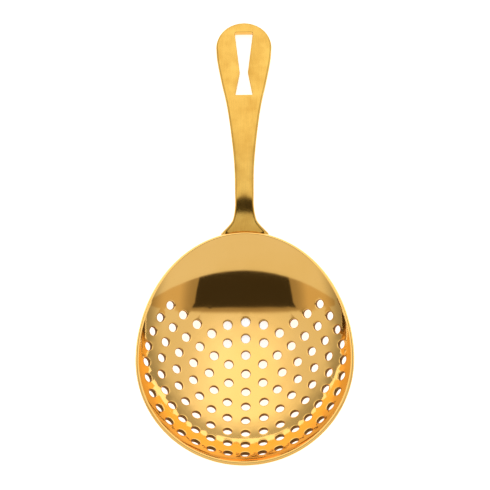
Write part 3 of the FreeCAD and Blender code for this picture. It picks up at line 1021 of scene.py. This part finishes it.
def add_room(stage):
    """A bright soft room with a dark screen round the camera, as a world background."""
    world = bpy.data.worlds.new("studio")
    bpy.context.scene.world = world
    world.use_nodes = True
    tree = world.node_tree
    tree.nodes.clear()
    right, up, back = camera_axes()
    direction = add_node(tree, "ShaderNodeTexCoord").outputs["Generated"]
    parts = []
    for axis in (right, up, back):
        dot = add_node(
            tree, "ShaderNodeVectorMath", {"operation": "DOT_PRODUCT"}, values={1: axis},
            links={0: direction},
        )
        parts.append(dot.outputs["Value"])
    side, rise, front = parts
    ahead = combine(tree, "MAXIMUM", front, LEAST_AHEAD)
    side_slope = combine(tree, "ADD", combine(tree, "DIVIDE", side, ahead), CARD_OFFSET)
    side_slope = combine(tree, "ABSOLUTE", side_slope, 0.0)
    rise_slope = combine(tree, "DIVIDE", rise, ahead)
    past_foot = combine(tree, "MAXIMUM", combine(tree, "SUBTRACT", rise_slope, CARD_FOOT), 0.0)
    widened = combine(tree, "MULTIPLY", rise_slope, CARD_WIDENING)
    flared = combine(tree, "MULTIPLY", past_foot, CARD_FLARE)
    narrowed = combine(tree, "SUBTRACT", combine(tree, "SUBTRACT", side_slope, widened), flared)

    facing = soft_step(tree, front, *FRONT_CHANGE)
    above_low = soft_step(tree, rise_slope, CARD_LOW, CARD_SOFTNESS)
    shade_start = combine(tree, "MULTIPLY", above_low, facing)
    below_high = less_than(tree, rise_slope, CARD_HIGH, CARD_SOFTNESS)
    inside_sides = less_than(tree, narrowed, CARD_SIDE, CARD_SIDE_SOFTNESS)
    below_shade = less_than(tree, rise_slope, SHADE_HIGH, CARD_SIDE_SOFTNESS)
    card = combine(tree, "MULTIPLY", combine(tree, "MULTIPLY", shade_start, below_high), inside_sides)
    shade = combine(tree, "MULTIPLY", shade_start, below_shade)

    beside = soft_step(tree, side_slope, *SHADE_CHANGE)
    to_side = soft_step(tree, combine(tree, "ABSOLUTE", side, 0.0), *SIDE_CHANGE)
    overhead = blended(tree, to_side, stage.above, stage.above_sides)
    room = blended(tree, soft_step(tree, rise, *RISE_CHANGE), stage.below, overhead)
    room = blended(tree, shade, room, blended(tree, beside, stage.shade, stage.shade_edge))
    room = blended(tree, card, room, stage.card)
    height = add_node(tree, "ShaderNodeSeparateXYZ", links={"Vector": direction}).outputs["Z"]
    low_down = blended(tree, soft_step(tree, height, *HORIZON_CHANGE), stage.horizon, 1.0)
    strength = combine(tree, "MULTIPLY", room, low_down)
    hue = add_node(
        tree, "ShaderNodeMix", {"data_type": "RGBA"},
        values={6: linear_colour("#FFFFFF"), 7: linear_colour(SHADE_HUE)}, links={0: shade},
    )
    background = add_node(
        tree, "ShaderNodeBackground", links={"Color": hue.outputs[2], "Strength": strength},
    )
    add_node(tree, "ShaderNodeOutputWorld", links={"Surface": background.outputs["Background"]})


# Operators ------------------------------------------------------------------------------------

class MakeBowl(Operator):
    """Models the pressed and punched bowl"""

    bl_idname = "strainer.make_bowl"
    bl_label = "Make bowl"

    def execute(self, context):
        bowl = context.scene.bowl
        bm = bmesh.new()
        stamp_rings(bm, bowl)
        centre_hole(bm, bowl)
        join_rings(bm)
        spread_to_rim(bm, bowl)
        press_sheet(bm, bowl)
        round_edges(bm, bowl)
        open_edges = sum(1 for edge in bm.edges if not edge.is_manifold)
        if open_edges:
            raise RuntimeError("the bowl has %d open edges" % open_edges)
        finish = context.scene.finish
        finished(bm, "bowl_sheet", "bowl", "mirror_gold", mirror_gold(finish), punched_gold_painted_shade(finish))
        return {"FINISHED"}


class MakeHandle(Operator):
    """Models the arched strip, its slot and its tongue"""

    bl_idname = "strainer.make_handle"
    bl_label = "Make handle"

    def execute(self, context):
        bowl, handle = context.scene.bowl, context.scene.handle
        line = handle_line(bowl)
        bm = bmesh.new()
        bm.verts.layers.int.new("row")
        bm.verts.layers.int.new("column")
        flat_strip(bm, line, handle)
        round_strip(bm, line, handle)
        bend_strip(bm, line, bowl, handle)
        open_edges = sum(1 for edge in bm.edges if not edge.is_manifold)
        if open_edges:
            raise RuntimeError("the handle has %d open edges" % open_edges)
        finished(bm, "handle_strip", "handle", "satin_gold", satin_gold(context.scene.finish))
        return {"FINISHED"}


class MakeWeld(Operator):
    """Models the weld bead round the handle's tongue"""

    bl_idname = "strainer.make_weld"
    bl_label = "Make weld"

    def execute(self, context):
        bowl = context.scene.bowl
        bm = bmesh.new()
        loops = bead_loops(bm, handle_line(bowl), bowl, context.scene.weld.radius)
        for before, after in zip(loops, loops[1:]):
            bmesh.ops.bridge_loops(bm, edges=before + after)
        for end in (loops[0], loops[-1]):
            bmesh.ops.edgeloop_fill(bm, edges=end)
        bmesh.ops.recalc_face_normals(bm, faces=bm.faces)
        finished(bm, "weld_bead", "root_weld", "weld_gold", weld_gold(context.scene.finish))
        return {"FINISHED"}


class MakeStage(Operator):
    """Sets the table, the room and the camera"""

    bl_idname = "strainer.make_stage"
    bl_label = "Make stage"

    def execute(self, context):
        add_floor(table_white(context.scene.stage))
        add_room(context.scene.stage)
        add_camera()
        context.scene.view_settings.view_transform = "Standard"
        return {"FINISHED"}


class StrainerPanel(Panel):
    """Lists the strainer's sizes, colours and pieces"""

    bl_idname = "VIEW3D_PT_strainer"
    bl_label = "Julep strainer"
    bl_space_type = "VIEW_3D"
    bl_region_type = "UI"
    bl_category = "Strainer"

    def draw(self, context):
        for name in GROUPS:
            group = getattr(context.scene, name)
            box = self.layout.box()
            for key in group.__annotations__:
                box.prop(group, key)
        for operator in OPERATORS:
            self.layout.operator(operator.bl_idname)


GROUPS = {
    "bowl": BowlSettings,
    "handle": HandleSettings,
    "weld": WeldSettings,
    "finish": FinishSettings,
    "stage": StageSettings,
}
OPERATORS = (MakeBowl, MakeHandle, MakeWeld, MakeStage)


def register():
    for group in GROUPS.values():
        bpy.utils.register_class(group)
    for name, group in GROUPS.items():
        setattr(bpy.types.Scene, name, PointerProperty(type=group))
    for operator in OPERATORS:
        bpy.utils.register_class(operator)
    bpy.utils.register_class(StrainerPanel)


def unregister():
    bpy.utils.unregister_class(StrainerPanel)
    for operator in reversed(OPERATORS):
        bpy.utils.unregister_class(operator)
    for name, group in GROUPS.items():
        delattr(bpy.types.Scene, name)
        bpy.utils.unregister_class(group)


def main():
    register()
    bpy.ops.strainer.make_bowl()
    bpy.ops.strainer.make_handle()
    bpy.ops.strainer.make_weld()
    bpy.ops.strainer.make_stage()


if __name__ == "__main__":
    main()
